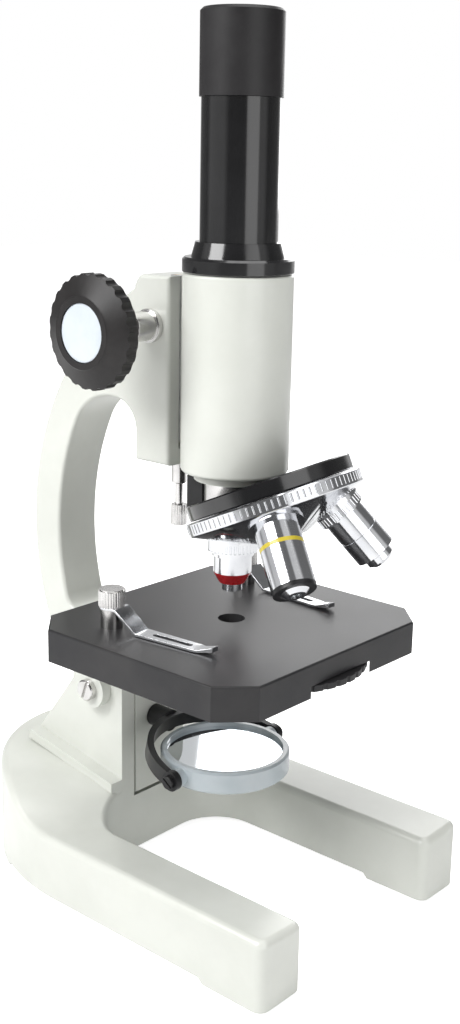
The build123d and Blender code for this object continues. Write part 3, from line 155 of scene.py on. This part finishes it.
def makeFloor(look):
    shape = bmesh.new()
    bmesh.ops.create_grid(shape, x_segments=1, y_segments=1, size=look["half"])
    mesh = bpy.data.meshes.new("studioFloor")
    shape.to_mesh(mesh)
    shape.free()
    obj = bpy.data.objects.new("studioFloor", mesh)
    bpy.context.scene.collection.objects.link(obj)
    mat = bpy.data.materials.new("studioFloor")
    mat.use_nodes = True
    tree = mat.node_tree
    tree.nodes.clear()
    out = tree.nodes.new("ShaderNodeOutputMaterial")
    cloth = tree.nodes.new("ShaderNodeBsdfDiffuse")
    cloth.inputs["Color"].default_value = (*look["colour"], 1)
    glow = tree.nodes.new("ShaderNodeEmission")
    glow.inputs["Strength"].default_value = look["glow"]
    both = tree.nodes.new("ShaderNodeAddShader")
    mix = tree.nodes.new("ShaderNodeMixShader")
    path = tree.nodes.new("ShaderNodeLightPath")
    tree.links.new(cloth.outputs[0], both.inputs[0])
    tree.links.new(glow.outputs[0], both.inputs[1])
    tree.links.new(path.outputs["Is Camera Ray"], mix.inputs["Fac"])
    tree.links.new(cloth.outputs[0], mix.inputs[1])
    tree.links.new(both.outputs[0], mix.inputs[2])
    tree.links.new(mix.outputs[0], out.inputs["Surface"])
    mesh.materials.append(mat)


makeFloor(floor)
print("camera, lamps and floor ready")

# Finishes: two shades that patches mix, the roughness they vary, and a fine grain as bump.
# patch and grain are scales of noise per metre, depth is in metres.
finishes = {
    "enamel": {
        "colour": (0.700, 0.715, 0.665), "shade": (0.640, 0.655, 0.605), "rough": (0.26, 0.36),
        "coat": 0.35, "patch": 22, "grain": 520, "bump": 0.05, "depth": 0.00035},
    "stageBlack": {
        "colour": (0.020, 0.020, 0.022), "shade": (0.034, 0.033, 0.034), "rough": (0.30, 0.42),
        "shine": 0.3, "patch": 30, "grain": 2600, "bump": 0.16, "depth": 0.00022},
    "satinBlack": {
        "colour": (0.012, 0.012, 0.013), "shade": (0.022, 0.022, 0.023), "rough": (0.28, 0.40),
        "shine": 0.3, "patch": 60, "grain": 1800, "bump": 0.05, "depth": 0.0001},
    "tubeBlack": {
        "colour": (0.006, 0.006, 0.0065), "shade": (0.010, 0.010, 0.011), "rough": (0.10, 0.17),
        "coat": 0.6, "patch": 40, "grain": 900, "bump": 0.02, "depth": 0.0001},
    "capBlack": {
        "colour": (0.016, 0.015, 0.016), "shade": (0.024, 0.023, 0.024), "rough": (0.34, 0.46),
        "shine": 0.3, "patch": 50, "grain": 2200, "bump": 0.10, "depth": 0.00012},
    "knobBlack": {
        "colour": (0.014, 0.013, 0.013), "shade": (0.024, 0.022, 0.022), "rough": (0.32, 0.44),
        "shine": 0.3, "patch": 70, "grain": 2400, "bump": 0.12, "depth": 0.00015},
    "chromed": {
        "colour": (0.80, 0.81, 0.83), "shade": (0.70, 0.71, 0.74), "rough": (0.07, 0.16),
        "metal": 1.0, "patch": 90, "grain": 1200, "bump": 0.01, "depth": 0.00005},
    "nickel": {
        "colour": (0.74, 0.73, 0.72), "shade": (0.60, 0.59, 0.58), "rough": (0.14, 0.26),
        "metal": 1.0, "patch": 120, "grain": 1600, "bump": 0.02, "depth": 0.00005},
    "brushedSteel": {
        "colour": (0.62, 0.62, 0.63), "shade": (0.48, 0.48, 0.49), "rough": (0.24, 0.40),
        "metal": 1.0, "patch": 160, "grain": 2600, "bump": 0.05, "depth": 0.00006},
    "springSteel": {
        "colour": (0.76, 0.77, 0.79), "shade": (0.62, 0.63, 0.65), "rough": (0.10, 0.22),
        "metal": 1.0, "patch": 140, "grain": 2200, "bump": 0.03, "depth": 0.00005},
    "brassFinish": {
        "colour": (0.72, 0.52, 0.20), "shade": (0.60, 0.41, 0.15), "rough": (0.22, 0.36),
        "metal": 1.0, "patch": 150, "grain": 2000, "bump": 0.03, "depth": 0.00005},
    "paleInlay": {
        "colour": (0.66, 0.71, 0.76), "shade": (0.58, 0.64, 0.70), "rough": (0.20, 0.30),
        "coat": 0.4, "patch": 60, "grain": 1500, "bump": 0.02, "depth": 0.00005},
    "palePlastic": {
        "colour": (0.66, 0.72, 0.75), "shade": (0.58, 0.65, 0.69), "rough": (0.16, 0.26),
        "coat": 0.3, "through": 0.25, "patch": 50, "grain": 1400, "bump": 0.02, "depth": 0.00005},
    "mirrorGlass": {
        "colour": (0.86, 0.89, 0.91), "shade": (0.80, 0.84, 0.87), "rough": (0.02, 0.05),
        "metal": 1.0, "patch": 40},
    "lensGlass": {
        "colour": (0.80, 0.86, 0.88), "shade": (0.70, 0.78, 0.84), "rough": (0.01, 0.04),
        "through": 1.0, "patch": 80},
    "redBand": {
        "colour": (0.50, 0.020, 0.025), "shade": (0.40, 0.014, 0.018), "rough": (0.22, 0.34),
        "coat": 0.3, "patch": 160, "grain": 2000, "bump": 0.03, "depth": 0.00005},
    "yellowBand": {
        "colour": (0.62, 0.50, 0.045), "shade": (0.52, 0.41, 0.03), "rough": (0.22, 0.34),
        "coat": 0.3, "patch": 160, "grain": 2000, "bump": 0.03, "depth": 0.00005},
    "rubberBlack": {
        "colour": (0.018, 0.018, 0.018), "shade": (0.030, 0.030, 0.030), "rough": (0.60, 0.75),
        "shine": 0.3, "patch": 90, "grain": 1600, "bump": 0.15, "depth": 0.0002},
    "fibreBrown": {
        "colour": (0.050, 0.040, 0.034), "shade": (0.075, 0.060, 0.050), "rough": (0.60, 0.75),
        "patch": 120, "grain": 2500, "bump": 0.20, "depth": 0.0002},
}
texture = {"patchDetail": 5, "patchRoughness": 0.6, "patchSpread": (0.35, 0.65), "grainDetail": 3,
           "coatRoughness": 0.12, "ior": 1.5, "shine": 0.5}
# Places of the colour sockets on a Mix node
mixFactor, mixFirst, mixSecond, mixResult = 0, 6, 7, 2


def makeFinish(name, look):
    mat = bpy.data.materials.new(name)
    mat.use_nodes = True
    tree = mat.node_tree
    shader = tree.nodes["Principled BSDF"]
    place = tree.nodes.new("ShaderNodeTexCoord")
    patch = tree.nodes.new("ShaderNodeTexNoise")
    patch.inputs["Scale"].default_value = look["patch"]
    patch.inputs["Detail"].default_value = texture["patchDetail"]
    patch.inputs["Roughness"].default_value = texture["patchRoughness"]
    tint = tree.nodes.new("ShaderNodeMix")
    tint.data_type = "RGBA"
    tint.inputs[mixFirst].default_value = (*look["colour"], 1)
    tint.inputs[mixSecond].default_value = (*look["shade"], 1)
    tree.links.new(place.outputs["Object"], patch.inputs["Vector"])
    spread = tree.nodes.new("ShaderNodeMapRange")
    spread.inputs["From Min"].default_value, spread.inputs["From Max"].default_value = texture["patchSpread"]
    tree.links.new(patch.outputs["Fac"], spread.inputs["Value"])
    tree.links.new(spread.outputs["Result"], tint.inputs[mixFactor])
    tree.links.new(tint.outputs[mixResult], shader.inputs["Base Color"])
    gloss = tree.nodes.new("ShaderNodeMapRange")
    gloss.inputs["To Min"].default_value, gloss.inputs["To Max"].default_value = look["rough"]
    tree.links.new(patch.outputs["Fac"], gloss.inputs["Value"])
    tree.links.new(gloss.outputs["Result"], shader.inputs["Roughness"])
    if "bump" in look:
        grain = tree.nodes.new("ShaderNodeTexNoise")
        grain.inputs["Scale"].default_value = look["grain"]
        grain.inputs["Detail"].default_value = texture["grainDetail"]
        tree.links.new(place.outputs["Object"], grain.inputs["Vector"])
        bump = tree.nodes.new("ShaderNodeBump")
        bump.inputs["Strength"].default_value = look["bump"]
        bump.inputs["Distance"].default_value = look["depth"]
        tree.links.new(grain.outputs["Fac"], bump.inputs["Height"])
        tree.links.new(bump.outputs["Normal"], shader.inputs["Normal"])
    shader.inputs["Metallic"].default_value = look.get("metal", 0.0)
    shader.inputs["Coat Weight"].default_value = look.get("coat", 0.0)
    shader.inputs["Coat Roughness"].default_value = texture["coatRoughness"]
    shader.inputs["Transmission Weight"].default_value = look.get("through", 0.0)
    shader.inputs["IOR"].default_value = texture["ior"]
    shader.inputs["Specular IOR Level"].default_value = look.get("shine", texture["shine"])
    return mat


paint = {name: makeFinish(name, look) for name, look in finishes.items()}
print("finishes mixed:", len(paint))

# Pieces from the solids: node: (finish, record slot, edge easing in mm)
coverings = {
    "base_casting": ("enamel", "enamel", 0.0),
    "rubber_feet": ("rubberBlack", "rubber", 0.0),
    "tilt_bolt": ("nickel", "nickel", 0.15),
    "tilt_nut": ("nickel", "nickel", 0.2),
    "friction_washers": ("fibreBrown", "fibre", 0.0),
    "arm": ("enamel", "enamel", 0.0),
    "stage": ("stageBlack", "stage_black", 0.0),
    "stage_screws": ("nickel", "nickel", 0.15),
    "left_clip_post": ("nickel", "nickel", 0.0),
    "right_clip_post": ("nickel", "nickel", 0.0),
    "diaphragm_pivot": ("nickel", "nickel", 0.1),
    "stop_lock_nut": ("nickel", "nickel", 0.0),
    "left_shaft_bush": ("nickel", "nickel", 0.2),
    "right_shaft_bush": ("nickel", "nickel", 0.2),
    "pinion_shaft": ("brushedSteel", "steel", 0.0),
    "left_knob": ("knobBlack", "knob_black", 0.0),
    "right_knob": ("knobBlack", "knob_black", 0.0),
    "left_knob_inlay": ("paleInlay", "inlay", 0.0),
    "right_knob_inlay": ("paleInlay", "inlay", 0.0),
    "knob_set_screws": ("brushedSteel", "steel", 0.1),
    "head_casting": ("enamel", "enamel", 0.0),
    "slide_bar": ("brushedSteel", "steel", 0.15),
    "focus_rack": ("brassFinish", "brass", 0.0),
    "slide_screws": ("nickel", "nickel", 0.1),
    "tube_flange": ("tubeBlack", "satin_black", 0.0),
    "body_tube": ("tubeBlack", "tube_black", 0.15),
    "nosepiece_mount": ("nickel", "nickel", 0.15),
    "nosepiece_plate": ("tubeBlack", "satin_black", 0.0),
    "click_spring": ("satinBlack", "satin_black", 0.2),
    "turret_pivot_screw": ("nickel", "nickel", 0.15),
    "eyepiece_cap": ("capBlack", "satin_black", 0.0),
    "eyepiece_barrel": ("brushedSteel", "steel", 0.1),
    "eye_lens": ("lensGlass", "glass", 0.0),
    "field_lens": ("lensGlass", "glass", 0.0),
    "field_stop": ("satinBlack", "satin_black", 0.1),
    "turret": ("chromed", "chromed", 0.0),
    "objective_4x": ("chromed", "chromed", 0.0),
    "objective_4x_band": ("redBand", "band_red", 0.0),
    "objective_4x_lens": ("lensGlass", "glass", 0.0),
    "objective_10x": ("chromed", "chromed", 0.0),
    "objective_10x_band": ("yellowBand", "band_yellow", 0.0),
    "objective_10x_ring": ("satinBlack", "satin_black", 0.0),
    "objective_10x_lens": ("lensGlass", "glass", 0.0),
    "objective_40x": ("chromed", "chromed", 0.0),
    "objective_40x_lens": ("lensGlass", "glass", 0.0),
    "left_clip": ("springSteel", "spring_steel", 0.12),
    "right_clip": ("springSteel", "spring_steel", 0.12),
    "disc_diaphragm": ("stageBlack", "stage_black", 0.15),
    "mirror_fork": ("satinBlack", "satin_black", 0.25),
    "fork_pin": ("brushedSteel", "steel", 0.1),
    "mirror_pivot_screws": ("satinBlack", "satin_black", 0.15),
    "mirror_ring": ("palePlastic", "pale_plastic", 0.0),
    "plane_mirror": ("mirrorGlass", "mirror_glass", 0.2),
    "concave_mirror": ("mirrorGlass", "mirror_glass", 0.0),
    "stop_screw": ("nickel", "nickel", 0.0),
}
bodyOf = {node: body for body, members in frame["record"]["behaviour"]["bodies"].items()
          for node in members}
# Weld distance in metres; angles in degrees below which facets merge, above which an edge stays
# sharp, and above which the easing rounds it
surface = {"weld": 1e-6, "flat": 0.5, "sharp": 32, "easeAngle": 40, "easeSteps": 2}


def finishPiece(obj, body, material, edge):
    obj.data.materials.clear()
    obj.data.materials.append(material)
    if edge > 0:
        ease = obj.modifiers.new("easedEdges", "BEVEL")
        ease.width = edge / 1000
        ease.segments = surface["easeSteps"]
        ease.limit_method = "ANGLE"
        ease.angle_limit = math.radians(surface["easeAngle"])
    settle = obj.modifiers.new("evenNormals", "WEIGHTED_NORMAL")
    settle.keep_sharp = True
    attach(obj, body)


def coverNode(node, finish, slotName, edge):
    source = frame["nodes"][node]
    shape = bmesh.new()
    shape.from_mesh(source.data)
    bmesh.ops.remove_doubles(shape, verts=shape.verts, dist=surface["weld"])
    bmesh.ops.dissolve_limit(shape, angle_limit=math.radians(surface["flat"]), verts=shape.verts,
                             edges=shape.edges)
    for face in shape.faces:
        face.smooth = True
    for line in shape.edges:
        line.smooth = not (line.is_manifold and line.calc_face_angle(0) > math.radians(surface["sharp"]))
    mesh = bpy.data.meshes.new(node + "_finished")
    shape.to_mesh(mesh)
    shape.free()
    obj = bpy.data.objects.new(node + "_finished", mesh)
    bpy.context.scene.collection.objects.link(obj)
    finishPiece(obj, bodyOf[node], paint[finish], edge)
    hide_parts(node)
    return obj


pieces = {node: coverNode(node, *words) for node, words in coverings.items()}
print("pieces covered:", len(pieces))
